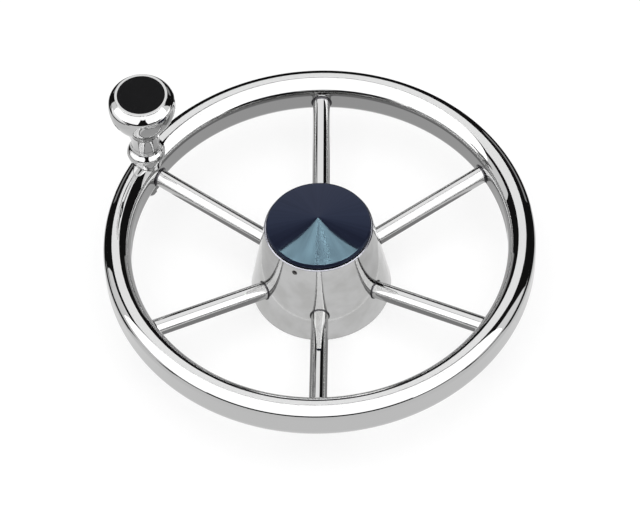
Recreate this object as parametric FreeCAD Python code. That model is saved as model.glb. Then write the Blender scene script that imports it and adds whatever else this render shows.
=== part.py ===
import FreeCAD, Part
import math
import os

# A six-spoke stainless boat steering wheel with a spinner knob on its rim.
# Sizes are in millimetres and angles in degrees. The origin is the middle of the hub's base,
# +Z points along the helm shaft towards the helmsman, and +X lies midway between two spokes.

# Rim: one tube of obround section, bent to a ring
rim_outer_diameter = 394.0
rim_tube_width = 25.0
rim_tube_depth = 39.3
rim_wall = 1.5
rim_mid_height = 55.0

# Spokes: straight round tubes that rise from the hub to the rim
spoke_count = 6
first_spoke_angle = 30.0
spoke_diameter = 16.0
spoke_wall = 1.5
spoke_slope = 10.3
spoke_drop_at_rim = 1.7

# Hub shell: a spun cone with its top edge turned in
hub_base_diameter = 129.0
hub_top_diameter = 99.0
hub_height = 87.0
hub_wall = 2.0
hub_lip_width = 4.0
hub_edge_round = 1.2

# Hub web: a dished plate between the shell and the core
web_height = 30.0
web_thickness = 3.0
web_flange_depth = 9.0
web_bend_round = 3.5

# Hub core: a turned boss for a 3/4 inch tapered and keyed shaft, taper 1 in 12
core_diameter = 38.0
core_bottom_height = 8.0
core_length = 44.0
core_collar_width = 4.0
core_collar_thickness = 5.0
taper_mouth_diameter = 19.05
taper_ratio = 12.0
nut_recess_diameter = 27.0
nut_recess_depth = 6.0
keyway_width = 4.76
keyway_depth = 2.3
core_edge_chamfer = 1.0

# Centre cap: a shallow cone with a skirt, an O-ring and a grub screw to hold it
cap_edge_inset = 1.9
cap_edge_round = 3.0
cap_edge_land = 0.3
cap_slope = 13.0
cap_shadow_gap = 1.0
cap_seat_width = 0.9
cap_wall = 2.6
cap_skirt_wall = 4.0
cap_skirt_clearance = 0.2
cap_groove_clearance = 0.2
cap_groove_land = 1.0
cap_screw_groove_depth = 1.2
seat_ring_overhang = 1.5
o_ring_thickness = 1.6
grub_screw_diameter = 5.0
grub_screw_angle = 245.0
grub_screw_drop = 7.0
grub_screw_inset = 0.8
grub_screw_point_diameter = 2.4
grub_screw_key_width = 2.5
grub_screw_key_depth = 2.0

# Weld beads
spoke_weld_size = 1.6
spoke_weld_bevel = 0.8
hub_weld_size = 2.5

# Knob: a hollow stainless knob that spins on a stud bolted through the rim at the third spoke
knob_spoke = 3
knob_ball_diameter = 61.2
knob_ball_height = 76.0
knob_waist_diameter = 25.6
knob_waist_height = 21.0
knob_top_above_ball = 15.0
knob_shoulder_round = 13.5
knob_lip_diameter = 48.6
knob_lip_width = 2.4
knob_lip_rise = 1.2
knob_lip_edge_round = 0.4
knob_wall = 2.0
knob_running_gap = 0.4
knob_bead_diameter = 35.2
knob_bead_height = 7.5
knob_foot_inset = 2.2
knob_foot_drop = 7.0
knob_foot_taper = 1.6

# Black disc let into the top of the knob
insert_thickness = 2.6
insert_clearance = 0.1
insert_edge_round = 0.5
insert_plug_depth = 3.0

# Knob core: the turned sleeve and flange inside the knob, with its nut pocket
core_flange_thickness = 4.0
core_flange_clearance = 0.2
pocket_depth = 18.1
pocket_wall = 3.0

# Stud, bushes and fasteners of the knob
stud_thread_diameter = 8.0
stud_shoulder_diameter = 12.0
stud_end_chamfer = 0.8
stud_hole_clearance = 0.2
bush_running_clearance = 0.05
bush_wall = 2.95
bush_length = 14.0
bush_flange_thickness = 1.5
bush_flange_clearance = 0.4
bush_end_play = 0.2
washer_diameter = 18.0
washer_thickness = 1.6
nut_width = 13.0
nut_height = 8.0
nut_collar_height = 1.8
nut_corner_chamfer = 0.8
stud_stand_out = 1.2
saddle_washer_diameter = 20.0
saddle_washer_thickness = 3.0
dome_nut_hexagon_height = 8.0
dome_nut_height = 15.0
dome_nut_thread_depth = 11.0
dome_diameter = 12.4

# Places worked out from the sizes above
rim_radius = (rim_outer_diameter - rim_tube_width) / 2
rim_top = rim_mid_height + rim_tube_depth / 2
rim_bottom = rim_mid_height - rim_tube_depth / 2
spoke_pitch = 360.0 / spoke_count
knob_angle = first_spoke_angle + (knob_spoke - 1) * spoke_pitch
seat_radius = hub_top_diameter / 2 - hub_lip_width
skirt_radius = seat_radius - cap_skirt_clearance
o_ring_groove_width = o_ring_thickness + 2 * cap_groove_clearance
screw_height = hub_height - grub_screw_drop
screw_groove_width = grub_screw_point_diameter + 2 * cap_groove_clearance
screw_groove_floor = skirt_radius - cap_screw_groove_depth
o_ring_height = screw_height - screw_groove_width / 2 - cap_groove_land - o_ring_groove_width / 2
skirt_end = o_ring_height - o_ring_groove_width / 2 - cap_groove_land
knob_shell_bottom = rim_top + knob_waist_height + knob_running_gap
knob_ball_centre = rim_top + knob_ball_height
knob_top = knob_ball_centre + knob_top_above_ball
pocket_floor = knob_top - insert_thickness - pocket_depth
stud_radius = stud_thread_diameter / 2
shoulder_radius = stud_shoulder_diameter / 2
shoulder_top = pocket_floor + bush_flange_thickness + bush_end_play
bush_outer_radius = shoulder_radius + bush_running_clearance + bush_wall
neck_radius = knob_waist_diameter / 2 - knob_wall
bush_flange_radius = neck_radius - bush_flange_clearance
pocket_radius = neck_radius
saddle_washer_bottom = rim_bottom - saddle_washer_thickness

WHEEL_AXIS = FreeCAD.Vector(0, 0, 1)
CENTRE = FreeCAD.Vector(0, 0, 0)


def point(radius, height):
    """A point of a turned profile, in the plane y = 0."""
    return FreeCAD.Vector(radius, 0, height)


def outline(corners):
    """A closed wire through corners of (radius, height, rounding), each rounded by a tangent arc."""
    places = [point(radius, height) for radius, height, rounding in corners]
    runs = []
    for number, (radius, height, rounding) in enumerate(corners):
        here = places[number]
        if not rounding:
            runs.append((here, None, here))
            continue
        back = (places[number - 1] - here).normalize()
        ahead = (places[(number + 1) % len(places)] - here).normalize()
        half_angle = back.getAngle(ahead) / 2
        reach = rounding / math.tan(half_angle)
        middle = (back + ahead).normalize() * (rounding / math.sin(half_angle) - rounding)
        runs.append((here + back * reach, here + middle, here + ahead * reach))
    edges = []
    for number, (arc_start, arc_middle, arc_end) in enumerate(runs):
        if arc_middle:
            edges.append(Part.Arc(arc_start, arc_middle, arc_end).toShape())
        edges.append(Part.LineSegment(arc_end, runs[(number + 1) % len(runs)][0]).toShape())
    return Part.Wire(edges)


def turned(wire):
    """The solid that a closed outline sweeps about the Z axis."""
    return Part.Face(wire).revolve(CENTRE, WHEEL_AXIS, 360)


def turned_from(*corners):
    return turned(outline(corners))


def around(shape, angle):
    """A copy turned about the wheel's axis."""
    copy = shape.copy()
    copy.rotate(CENTRE, WHEEL_AXIS, angle)
    return copy


def at_knob(shape):
    """A shape made about the Z axis, moved to the knob's place on the rim."""
    shape.translate(FreeCAD.Vector(rim_radius, 0, 0))
    return around(shape, knob_angle)


def cylinder(diameter, bottom, top):
    return Part.makeCylinder(diameter / 2, top - bottom, point(0, bottom))


def hexagon(width, bottom, top):
    """A hexagonal bar, given its width across the flats."""
    corner = width / math.sqrt(3)
    angles = [math.radians(60 * number) for number in range(7)]
    ring = [FreeCAD.Vector(corner * math.cos(a), corner * math.sin(a), bottom) for a in angles]
    return Part.Face(Part.makePolygon(ring)).extrude(FreeCAD.Vector(0, 0, top - bottom))


def nut_hexagon(bottom, top):
    """A nut's hexagon, its corners turned off at both ends."""
    corner = nut_width / math.sqrt(3)
    end = corner - nut_corner_chamfer
    drop = nut_corner_chamfer * math.tan(math.radians(30))
    bar = turned_from((0, bottom, 0), (end, bottom, 0), (corner, bottom + drop, 0),
                      (corner, top - drop, 0), (end, top, 0), (0, top, 0))
    return hexagon(nut_width, bottom, top).common(bar)


# Rim

def obround_wire(inset):
    """The rim's section, two straight walls joined by half circles, drawn inset from its outside."""
    half_width = rim_tube_width / 2 - inset
    straight = (rim_tube_depth - rim_tube_width) / 2
    low = rim_mid_height - straight
    high = rim_mid_height + straight
    inner = rim_radius - half_width
    outer = rim_radius + half_width
    edges = [
        Part.LineSegment(point(outer, low), point(outer, high)).toShape(),
        Part.Arc(point(outer, high), point(rim_radius, high + half_width),
                 point(inner, high)).toShape(),
        Part.LineSegment(point(inner, high), point(inner, low)).toShape(),
        Part.Arc(point(inner, low), point(rim_radius, low - half_width),
                 point(outer, low)).toShape(),
    ]
    return Part.Wire(edges)


def rim_block(grown=0.0):
    """The rim as if it were solid, for cutting what lies against it."""
    return turned(obround_wire(-grown))


def make_rim():
    tube = rim_block().cut(rim_block(-rim_wall))
    hole = cylinder(stud_thread_diameter + 2 * stud_hole_clearance,
                    rim_bottom - rim_wall, rim_top + rim_wall)
    return tube.cut(at_knob(hole))


# Hub

def hub_radius(height):
    """The shell's outside radius at a height above the base."""
    slope = (hub_base_diameter - hub_top_diameter) / 2 / hub_height
    return hub_base_diameter / 2 - slope * height


hub_wall_across = hub_wall * math.hypot(1, (hub_radius(0) - hub_radius(hub_height)) / hub_height)


def shell_inside(height):
    return hub_radius(height) - hub_wall_across


def hub_block(grown=0.0):
    """The hub as if it were solid, for cutting what lies against it."""
    across = grown * hub_wall_across / hub_wall
    return turned_from((0, 0, 0), (hub_radius(0) + across, 0, 0),
                       (hub_radius(hub_height) + across, hub_height, 0), (0, hub_height, 0))


def grub_screw_bar(diameter, inner_radius, outer_radius):
    """A round bar along the grub screw's axis."""
    bar = Part.makeCylinder(diameter / 2, outer_radius - inner_radius,
                            point(inner_radius, screw_height), FreeCAD.Vector(1, 0, 0))
    return around(bar, grub_screw_angle)


def make_hub_shell():
    top_underside = hub_height - hub_wall
    shell = turned_from(
        (shell_inside(0), 0, 0),
        (hub_radius(0), 0, hub_edge_round / 2),
        (hub_radius(hub_height), hub_height, hub_edge_round),
        (seat_radius, hub_height, hub_edge_round / 2),
        (seat_radius, top_underside, 0),
        (shell_inside(top_underside), top_underside, 0),
    )
    return shell.cut(grub_screw_bar(grub_screw_diameter, seat_radius, hub_radius(0)))


def make_cap_seat_ring():
    """A turned ring welded under the shell's top edge, in which the cap's skirt sits."""
    top = hub_height - hub_wall
    bottom = skirt_end - seat_ring_overhang
    ring = turned_from((seat_radius, bottom, 0), (shell_inside(bottom), bottom, 0),
                       (shell_inside(top), top, 0), (seat_radius, top, 0))
    return ring.cut(grub_screw_bar(grub_screw_diameter, 0, hub_radius(0)))


def make_hub_web():
    top = web_height + web_thickness
    flange_end = top - web_flange_depth
    inner_bend = web_bend_round - web_thickness
    return turned_from(
        (core_diameter / 2, web_height, 0),
        (shell_inside(web_height) - web_thickness, web_height, max(inner_bend, 0)),
        (shell_inside(flange_end) - web_thickness, flange_end, 0),
        (shell_inside(flange_end), flange_end, 0),
        (shell_inside(top), top, web_bend_round),
        (core_diameter / 2, top, 0),
    )


def make_hub_core():
    bottom = core_bottom_height
    top = bottom + core_length
    recess_floor = top - nut_recess_depth
    mouth = taper_mouth_diameter / 2
    small_end = mouth - (recess_floor - bottom) / taper_ratio / 2
    collar = core_diameter / 2 + core_collar_width
    core = turned_from(
        (mouth, bottom, 0),
        (core_diameter / 2, bottom, 0),
        (core_diameter / 2, web_height - core_collar_thickness, 0),
        (collar, web_height - core_collar_thickness, core_edge_chamfer),
        (collar, web_height, 0),
        (core_diameter / 2, web_height, 0),
        (core_diameter / 2, top - core_edge_chamfer, 0),
        (core_diameter / 2 - core_edge_chamfer, top, 0),
        (nut_recess_diameter / 2, top, 0),
        (nut_recess_diameter / 2, recess_floor, 0),
        (small_end, recess_floor, 0),
    )
    keyway = Part.makeBox(keyway_width, mouth + keyway_depth, recess_floor - bottom,
                          FreeCAD.Vector(-keyway_width / 2, 0, bottom))
    return core.cut(keyway)


def make_core_weld():
    """The bead between the core and the web's upper face."""
    foot = web_height + web_thickness
    wall = core_diameter / 2
    return turned_from((wall, foot, 0), (wall + hub_weld_size, foot, 0),
                       (wall, foot + hub_weld_size, 0))


def make_web_weld():
    """The bead between the web's flange and the inside of the shell."""
    edge = web_height + web_thickness - web_flange_depth
    return turned_from((shell_inside(edge) - hub_weld_size, edge, 0), (shell_inside(edge), edge, 0),
                       (shell_inside(edge - hub_weld_size), edge - hub_weld_size, 0))


# Cap

def make_centre_cap():
    """The cone, the step that stands on the shell, and the skirt with two grooves turned in it."""
    edge = hub_top_diameter / 2 - cap_edge_inset
    edge_bottom = hub_height + cap_shadow_gap
    # The cone and the upright edge would meet in this corner, above the reach of its rounding.
    corner = edge_bottom + cap_edge_land + cap_edge_round / math.tan(math.radians(45 + cap_slope / 2))
    steepness = math.tan(math.radians(cap_slope))
    apex = corner + edge * steepness
    seat = seat_radius + cap_seat_width
    skirt_inside = skirt_radius - cap_skirt_wall
    cap = turned_from(
        (0, apex, 0),
        (0, apex - cap_wall, 0),
        (skirt_inside, apex - skirt_inside * steepness - cap_wall, 1.0),
        (skirt_inside, skirt_end, 0.5),
        (skirt_radius, skirt_end, 0.8),
        (skirt_radius, hub_height, 0),
        (seat, hub_height, 0),
        (seat, edge_bottom, 0),
        (edge, edge_bottom, 0),
        (edge, corner, cap_edge_round),
    )
    o_ring_groove = groove(o_ring_height, o_ring_groove_width, seat_radius - o_ring_thickness)
    screw_groove = groove(screw_height, screw_groove_width, screw_groove_floor)
    return cap.cut(o_ring_groove).cut(screw_groove)


def groove(height, width, floor_radius):
    """The ring of metal that a groove takes out of the cap's skirt, drawn past its surface."""
    low = height - width / 2
    high = height + width / 2
    outside = skirt_radius + width
    return turned_from((floor_radius, low, 0), (outside, low, 0), (outside, high, 0),
                       (floor_radius, high, 0))


def make_cap_o_ring():
    return Part.makeTorus(seat_radius - o_ring_thickness / 2, o_ring_thickness / 2,
                          point(0, o_ring_height), WHEEL_AXIS)


def make_cap_grub_screw():
    """A socket screw, threaded through the shell and the seat ring into the cap's groove."""
    outer_end = hub_radius(screw_height) - grub_screw_inset
    thread = grub_screw_bar(grub_screw_diameter, seat_radius, outer_end)
    dog_point = grub_screw_bar(grub_screw_point_diameter, screw_groove_floor, seat_radius)
    key = hexagon(grub_screw_key_width, outer_end - grub_screw_key_depth, outer_end)
    key.rotate(CENTRE, FreeCAD.Vector(0, 1, 0), 90)
    key.translate(point(0, screw_height))
    return thread.fuse(dog_point).cut(around(key, grub_screw_angle)).removeSplitter()


# Spokes and their welds, made once along +X and turned to each place

spoke_slope_radians = math.radians(spoke_slope)
spoke_direction = point(math.cos(spoke_slope_radians), math.sin(spoke_slope_radians))
spoke_target = point(rim_radius, rim_mid_height - spoke_drop_at_rim)


def spoke_bar(diameter):
    """A round bar on the spoke's axis, from within the hub to the middle of the rim's tube."""
    length = rim_radius - hub_radius(hub_height) / 2
    return Part.makeCylinder(diameter / 2, length, spoke_target, spoke_direction * -1)


def make_spoke():
    tube = spoke_bar(spoke_diameter).cut(spoke_bar(spoke_diameter - 2 * spoke_wall))
    return tube.cut(hub_block()).cut(rim_block())


def make_spoke_weld(block, grown_block):
    """The bead where the spoke meets the hub or the rim, with its outer edge bevelled."""
    collar = spoke_bar(spoke_diameter + 2 * spoke_weld_size).common(grown_block)
    bead = collar.cut(block).cut(spoke_bar(spoke_diameter))
    outer_radius = spoke_diameter / 2 + spoke_weld_size

    def is_outer_corner(edge):
        places = edge.discretize(5)
        from_axis = [place.distanceToLine(spoke_target, spoke_direction) for place in places]
        from_block = [block.distToShape(Part.Vertex(place))[0] for place in places]
        return min(from_axis) > outer_radius - 0.01 and min(from_block) > spoke_weld_size - 0.01

    corners = [edge for edge in bead.Edges if is_outer_corner(edge)]
    return bead.makeChamfer(spoke_weld_size * spoke_weld_bevel, corners)


def all_round(shape):
    """One copy of a shape for each spoke, as a group of separate solids."""
    angles = [first_spoke_angle + number * spoke_pitch for number in range(spoke_count)]
    return Part.makeCompound([around(shape, angle) for angle in angles])


# Knob

def arc_about(centre, radius, low_angle, high_angle):
    """An arc of a turned profile about a centre, between two angles above the level."""
    angles = [low_angle, (low_angle + high_angle) / 2, high_angle]
    places = [centre + point(radius * math.cos(a), radius * math.sin(a)) for a in angles]
    return Part.Arc(*places).toShape()


def shoulder_centre():
    """The centre of the arc that leaves the ball smoothly and ends at the foot of the top lip."""
    ball_centre = point(0, knob_ball_centre)
    to_lip = point(knob_lip_diameter / 2, knob_top - knob_lip_rise) - ball_centre
    from_ball = knob_ball_diameter / 2 - knob_shoulder_round
    along = (from_ball ** 2 - knob_shoulder_round ** 2 + to_lip.Length ** 2) / (2 * to_lip.Length)
    aside = math.sqrt(from_ball ** 2 - along ** 2)
    out = FreeCAD.Vector(to_lip).normalize()
    return ball_centre + out * along + point(out.z, -out.x) * aside


lip_bore = knob_lip_diameter / 2 - knob_lip_width
lip_underside = knob_top - insert_thickness


def shell_inside_under_lip():
    """The radius of the shell's inner wall where the lip's underside meets it."""
    centre = shoulder_centre()
    inner = knob_shoulder_round - knob_wall
    return centre.x + math.sqrt(inner ** 2 - (lip_underside - centre.z) ** 2)


def make_knob_shell():
    """The ball and its shoulder, a trumpet curve into the waist, and a raised lip on top."""
    ball = knob_ball_diameter / 2
    ball_centre = point(0, knob_ball_centre)
    waist = knob_waist_diameter / 2
    bottom = knob_shell_bottom
    rise = knob_ball_centre - bottom
    # The trumpet's arc is upright at the waist and touches the ball.
    trumpet = (waist ** 2 + rise ** 2 - ball ** 2) / (2 * (ball - waist))
    trumpet_centre = point(waist + trumpet, bottom)
    turn = math.atan2(rise, trumpet_centre.x)
    shoulder = shoulder_centre()
    shoulder_start = math.atan2(shoulder.z - knob_ball_centre, shoulder.x)
    lip = knob_lip_diameter / 2
    lip_foot = point(lip, knob_top - knob_lip_rise)
    shoulder_end = math.atan2(lip_foot.z - shoulder.z, lip_foot.x - shoulder.x)
    inner_round = knob_shoulder_round - knob_wall
    inner_end = math.asin((lip_underside - shoulder.z) / inner_round)
    edge = knob_lip_edge_round
    edges = [
        arc_about(trumpet_centre, trumpet, math.pi - turn, math.pi),
        arc_about(ball_centre, ball, -turn, shoulder_start),
        arc_about(shoulder, knob_shoulder_round, shoulder_start, shoulder_end),
        Part.LineSegment(lip_foot, point(lip, knob_top - edge)).toShape(),
        arc_about(point(lip - edge, knob_top - edge), edge, 0, math.pi / 2),
        Part.LineSegment(point(lip - edge, knob_top), point(lip_bore, knob_top)).toShape(),
        Part.LineSegment(point(lip_bore, knob_top), point(lip_bore, lip_underside)).toShape(),
        Part.LineSegment(point(lip_bore, lip_underside),
                         point(shell_inside_under_lip(), lip_underside)).toShape(),
        arc_about(shoulder, inner_round, shoulder_start, inner_end),
        arc_about(ball_centre, ball - knob_wall, -turn, shoulder_start),
        arc_about(trumpet_centre, trumpet + knob_wall, math.pi - turn, math.pi),
        Part.LineSegment(point(waist - knob_wall, bottom), point(waist, bottom)).toShape(),
    ]
    return at_knob(turned(Part.Wire(Part.sortEdges(edges)[0])))


def make_knob_core():
    """A sleeve for the bushes, a pocket for the nut and a flange under the shell's top edge."""
    flange_top = lip_underside
    flange = shell_inside_under_lip() - core_flange_clearance
    sleeve = neck_radius
    cup = pocket_radius + pocket_wall
    cup_bottom = pocket_floor - pocket_wall
    bore = bush_outer_radius
    return at_knob(turned_from(
        (bore, knob_shell_bottom + bush_flange_thickness, 0),
        (sleeve, knob_shell_bottom + bush_flange_thickness, 0),
        (sleeve, cup_bottom - (cup - sleeve), 1.0),
        (cup, cup_bottom, 1.0),
        (cup, flange_top - core_flange_thickness, 1.0),
        (flange, flange_top - core_flange_thickness, 0.5),
        (flange, flange_top, 0),
        (pocket_radius, flange_top, 0),
        (pocket_radius, pocket_floor, 0),
        (bore, pocket_floor, 0),
    ))


def make_knob_insert():
    radius = lip_bore - insert_clearance
    bottom = lip_underside
    plug = pocket_radius - insert_clearance
    return at_knob(turned_from(
        (0, bottom - insert_plug_depth, 0),
        (plug, bottom - insert_plug_depth, 0),
        (plug, bottom, 0),
        (radius, bottom, 0),
        (radius, knob_top, insert_edge_round),
        (0, knob_top, 0),
    ))


def make_bush(flange_bottom, sleeve_direction):
    """A flanged bush; its sleeve runs up from the flange, or down."""
    bore = shoulder_radius + bush_running_clearance
    flange_top = flange_bottom + bush_flange_thickness
    bush = cylinder(2 * bush_flange_radius, flange_bottom, flange_top)
    if sleeve_direction > 0:
        sleeve = cylinder(2 * bush_outer_radius, flange_top, flange_top + bush_length)
    else:
        sleeve = cylinder(2 * bush_outer_radius, flange_bottom - bush_length, flange_bottom)
    hole = cylinder(2 * bore, flange_bottom - bush_length, flange_top + bush_length)
    return at_knob(bush.fuse(sleeve).cut(hole).removeSplitter())


def make_knob_base():
    """The fixed pedestal: waist, flare, bead and foot, its underside saddled to the rim."""
    waist = knob_waist_diameter / 2
    bead = knob_bead_diameter / 2
    foot = bead - knob_foot_inset
    bead_level = rim_top + knob_bead_height
    seam = rim_top + knob_waist_height
    step_out = bead - waist
    step_down = seam - bead_level
    # Two equal arcs, upright at the waist and at the bead, make the flare.
    flare = (step_out ** 2 + step_down ** 2) / (4 * step_out)
    half_turn = math.asin(step_down / 2 / flare) / 2
    middle = point((waist + bead) / 2, (seam + bead_level) / 2)
    upper = point(waist + flare * (1 - math.cos(half_turn)), seam - flare * math.sin(half_turn))
    lower = point(bead - flare * (1 - math.cos(half_turn)), bead_level + flare * math.sin(half_turn))
    sag = math.radians(45)
    under_bead = point(foot + (bead - foot) * math.sin(sag),
                       bead_level - knob_bead_height * (1 - math.cos(sag)) * 1.4)
    skirt_end = rim_top - knob_foot_drop
    edges = [
        Part.Arc(point(waist, seam), upper, middle).toShape(),
        Part.Arc(middle, lower, point(bead, bead_level)).toShape(),
        Part.Arc(point(bead, bead_level), under_bead, point(foot, rim_top)).toShape(),
        Part.LineSegment(point(foot, rim_top), point(foot - knob_foot_taper, skirt_end)).toShape(),
        Part.LineSegment(point(foot - knob_foot_taper, skirt_end), point(0, skirt_end)).toShape(),
        Part.LineSegment(point(0, skirt_end), point(0, seam)).toShape(),
        Part.LineSegment(point(0, seam), point(waist, seam)).toShape(),
    ]
    pedestal = turned(Part.Wire(Part.sortEdges(edges)[0]))
    hole = cylinder(stud_thread_diameter + 2 * stud_hole_clearance, skirt_end, seam)
    return at_knob(pedestal.cut(hole)).cut(rim_block())


def make_knob_stud():
    """Thread, plain shoulder and thread again, from the dome nut up to the lock nut."""
    bottom = saddle_washer_bottom - dome_nut_thread_depth
    shoulder_bottom = rim_top + knob_waist_height
    top = shoulder_top + washer_thickness + nut_height + stud_stand_out
    return at_knob(turned_from(
        (0, bottom, 0),
        (stud_radius - stud_end_chamfer, bottom, 0),
        (stud_radius, bottom + stud_end_chamfer, 0),
        (stud_radius, shoulder_bottom, 0),
        (shoulder_radius, shoulder_bottom, 0),
        (shoulder_radius, shoulder_top, 0),
        (stud_radius, shoulder_top, 0),
        (stud_radius, top - stud_end_chamfer, 0),
        (stud_radius - stud_end_chamfer, top, 0),
        (0, top, 0),
    ))


def make_stop_washer():
    washer = cylinder(washer_diameter, shoulder_top, shoulder_top + washer_thickness)
    hole = cylinder(stud_thread_diameter, shoulder_top, shoulder_top + washer_thickness)
    return at_knob(washer.cut(hole))


def make_lock_nut():
    """A hexagon nut with the round collar that holds its nylon ring."""
    bottom = shoulder_top + washer_thickness
    top = bottom + nut_height
    hexagon_top = top - nut_collar_height
    body = nut_hexagon(bottom, hexagon_top)
    collar = cylinder(nut_width - 2 * nut_corner_chamfer, hexagon_top, top)
    hole = cylinder(stud_thread_diameter, bottom, top)
    return at_knob(body.fuse(collar).cut(hole).removeSplitter())


def make_saddle_washer():
    """A turned washer, hollowed on top to fit the underside of the rim."""
    top = rim_bottom + saddle_washer_thickness
    washer = turned_from(
        (stud_radius + stud_hole_clearance, saddle_washer_bottom, 0),
        (saddle_washer_diameter / 2, saddle_washer_bottom, 0.8),
        (saddle_washer_diameter / 2, top, 0),
        (stud_radius + stud_hole_clearance, top, 0),
    )
    return at_knob(washer).cut(rim_block())


def make_dome_nut():
    top = saddle_washer_bottom
    hexagon_bottom = top - dome_nut_hexagon_height
    dome_centre = top - dome_nut_height + dome_diameter / 2
    body = nut_hexagon(hexagon_bottom, top)
    dome = Part.makeSphere(dome_diameter / 2, point(0, dome_centre))
    neck = cylinder(dome_diameter, dome_centre, top - nut_corner_chamfer)
    hole = cylinder(stud_thread_diameter, top - dome_nut_thread_depth, top)
    return at_knob(body.fuse([dome, neck]).cut(hole).removeSplitter())


def make_all():
    """Every piece by its name."""
    pieces = {"rim": make_rim()}
    spoke = make_spoke()
    for number in range(spoke_count):
        pieces[f"spoke_{number + 1}"] = around(spoke, first_spoke_angle + number * spoke_pitch)
    pieces["rim_weld_beads"] = all_round(make_spoke_weld(rim_block(), rim_block(spoke_weld_size)))
    pieces["hub_weld_beads"] = all_round(make_spoke_weld(hub_block(), hub_block(spoke_weld_size)))
    pieces["hub_shell"] = make_hub_shell()
    pieces["hub_web"] = make_hub_web()
    pieces["hub_core"] = make_hub_core()
    pieces["core_weld_bead"] = make_core_weld()
    pieces["web_weld_bead"] = make_web_weld()
    pieces["cap_seat_ring"] = make_cap_seat_ring()
    pieces["centre_cap"] = make_centre_cap()
    pieces["cap_o_ring"] = make_cap_o_ring()
    pieces["cap_grub_screw"] = make_cap_grub_screw()
    pieces["knob_base"] = make_knob_base()
    pieces["knob_stud"] = make_knob_stud()
    pieces["saddle_washer"] = make_saddle_washer()
    pieces["dome_nut"] = make_dome_nut()
    pieces["lower_bush"] = make_bush(knob_shell_bottom, 1)
    pieces["upper_bush"] = make_bush(pocket_floor, -1)
    pieces["stop_washer"] = make_stop_washer()
    pieces["lock_nut"] = make_lock_nut()
    pieces["knob_core"] = make_knob_core()
    pieces["knob_shell"] = make_knob_shell()
    pieces["knob_insert"] = make_knob_insert()
    return pieces


os.makedirs("parts", exist_ok=True)
for name, shape in make_all().items():
    shape.exportStep(f"parts/{name}.step")
    print(name, "solids", len(shape.Solids), "valid", shape.isValid(),
          "volume", round(shape.Volume, 1))
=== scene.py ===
import math

import bmesh
import bpy
from mathutils import Matrix, Vector

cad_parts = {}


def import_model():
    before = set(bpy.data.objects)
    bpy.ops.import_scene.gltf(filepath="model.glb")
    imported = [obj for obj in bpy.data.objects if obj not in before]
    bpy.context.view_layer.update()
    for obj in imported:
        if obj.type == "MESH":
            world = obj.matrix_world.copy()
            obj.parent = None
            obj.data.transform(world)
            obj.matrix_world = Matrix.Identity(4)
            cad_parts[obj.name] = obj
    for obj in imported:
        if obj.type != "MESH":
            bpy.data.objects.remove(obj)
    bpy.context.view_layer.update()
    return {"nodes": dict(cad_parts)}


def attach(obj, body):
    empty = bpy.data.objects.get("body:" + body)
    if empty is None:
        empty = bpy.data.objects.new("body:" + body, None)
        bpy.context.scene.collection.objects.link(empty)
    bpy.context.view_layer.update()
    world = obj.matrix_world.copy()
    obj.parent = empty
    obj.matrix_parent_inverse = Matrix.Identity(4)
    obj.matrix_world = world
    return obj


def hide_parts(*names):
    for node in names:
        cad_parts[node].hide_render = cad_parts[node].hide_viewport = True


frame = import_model()
nodes = frame["nodes"]


# Camera. The photograph looks down on the wheel from its lower side at about 54 degrees,
# from about four metres away with a long lens.
CAMERA_AIM = Vector((0.0001, -0.0070, 0.045))
CAMERA_DISTANCE = 4.004
CAMERA_ELEVATION = math.radians(53.75)
CAMERA_TURN = math.radians(2.80)
CAMERA_ROLL = math.radians(-2.78)
LENS_MM = 246.6
SENSOR_MM = 36.0
FARTHEST_SEEN = 50.0

camera = bpy.data.cameras.new("camera")
camera.lens = LENS_MM
camera.sensor_width = SENSOR_MM
camera.clip_end = FARTHEST_SEEN
camera_turn = (
    Matrix.Rotation(CAMERA_TURN, 4, "Z")
    @ Matrix.Rotation(math.pi / 2 - CAMERA_ELEVATION, 4, "X")
    @ Matrix.Rotation(CAMERA_ROLL, 4, "Z")
)
camera_back = camera_turn @ Vector((0, 0, CAMERA_DISTANCE))
camera_object = bpy.data.objects.new("camera", camera)
camera_object.matrix_world = Matrix.Translation(CAMERA_AIM + camera_back) @ camera_turn
bpy.context.scene.collection.objects.link(camera_object)
bpy.context.scene.camera = camera_object
bpy.context.scene.view_settings.view_transform = "Standard"


# World and lamp: a plain white room with one large soft lamp overhead. The room is white to
# the camera and in reflections, and dimmer as a light, so that colours render as written.
ROOM_LIGHT = 0.80
LAMP_SIZE = 4.0
LAMP_PLACE = (0.0, -0.4, 2.5)
LAMP_RADIANCE = 1.25


def add_node(tree, kind, inputs=None, **settings):
    """Adds a node to a tree. A socket given as an input is linked, and a value is set."""
    node = tree.nodes.new(kind)
    for name, value in settings.items():
        setattr(node, name, value)
    for name, value in (inputs or {}).items():
        if isinstance(value, bpy.types.NodeSocket):
            tree.links.new(value, node.inputs[name])
        else:
            node.inputs[name].default_value = value
    return node


def seen_share(tree):
    """Gives 1 where the camera sees a thing itself, in a reflection or through a clear piece, else 0."""
    path = add_node(tree, "ShaderNodeLightPath").outputs
    seen = add_node(tree, "ShaderNodeMath", {0: path["Is Camera Ray"], 1: path["Is Glossy Ray"]},
                    operation="MAXIMUM")
    seen = add_node(tree, "ShaderNodeMath", {0: seen.outputs[0], 1: path["Is Transmission Ray"]},
                    operation="MAXIMUM")
    return seen.outputs[0]


world = bpy.data.worlds.new("white room")
bpy.context.scene.world = world
world.use_nodes = True
tree = world.node_tree
tree.nodes.clear()
strength = add_node(tree, "ShaderNodeMix", {0: seen_share(tree), 2: ROOM_LIGHT, 3: 1.0})
room = add_node(tree, "ShaderNodeBackground", {"Color": (1, 1, 1, 1), "Strength": strength.outputs[0]})
add_node(tree, "ShaderNodeOutputWorld", {"Surface": room.outputs[0]})

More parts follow.
